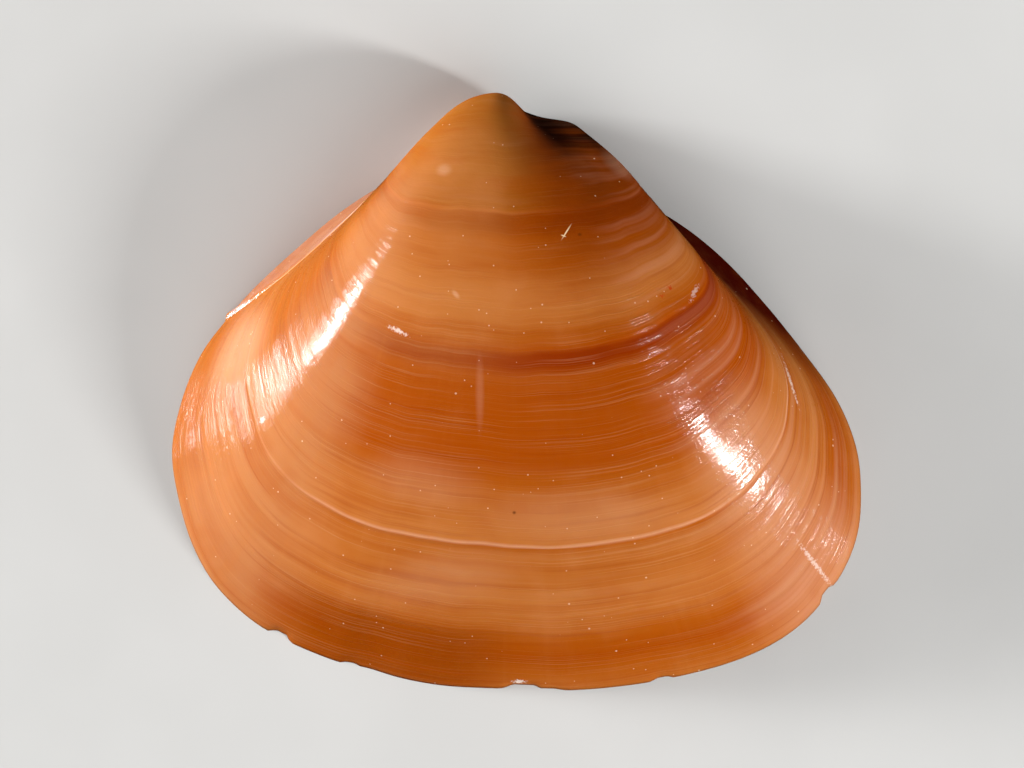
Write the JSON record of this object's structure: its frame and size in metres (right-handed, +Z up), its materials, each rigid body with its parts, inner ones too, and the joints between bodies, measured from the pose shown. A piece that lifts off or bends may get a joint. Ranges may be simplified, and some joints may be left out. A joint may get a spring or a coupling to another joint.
{
  "type": "wedge clam shell valve",
  "caption": "Single right valve of a small glossy orange-brown wedge clam, lying outside up, with growth bands, a curled beak, hinge teeth inside and a chipped margin.",
  "frame": {"origin": "under the middle of the valve's bounding box, on the plane of the margin that it rests on", "axes": "+X along the shell's length to its front end, +Y to the beak, +Z up through the outside of the valve"},
  "size_m": [0.0262, 0.0226, 0.0073],
  "materials": {
    "shell": "gloss"
  },
  "bodies": {
    "root": {"valve": "shell"}
  },
  "joints": []
}
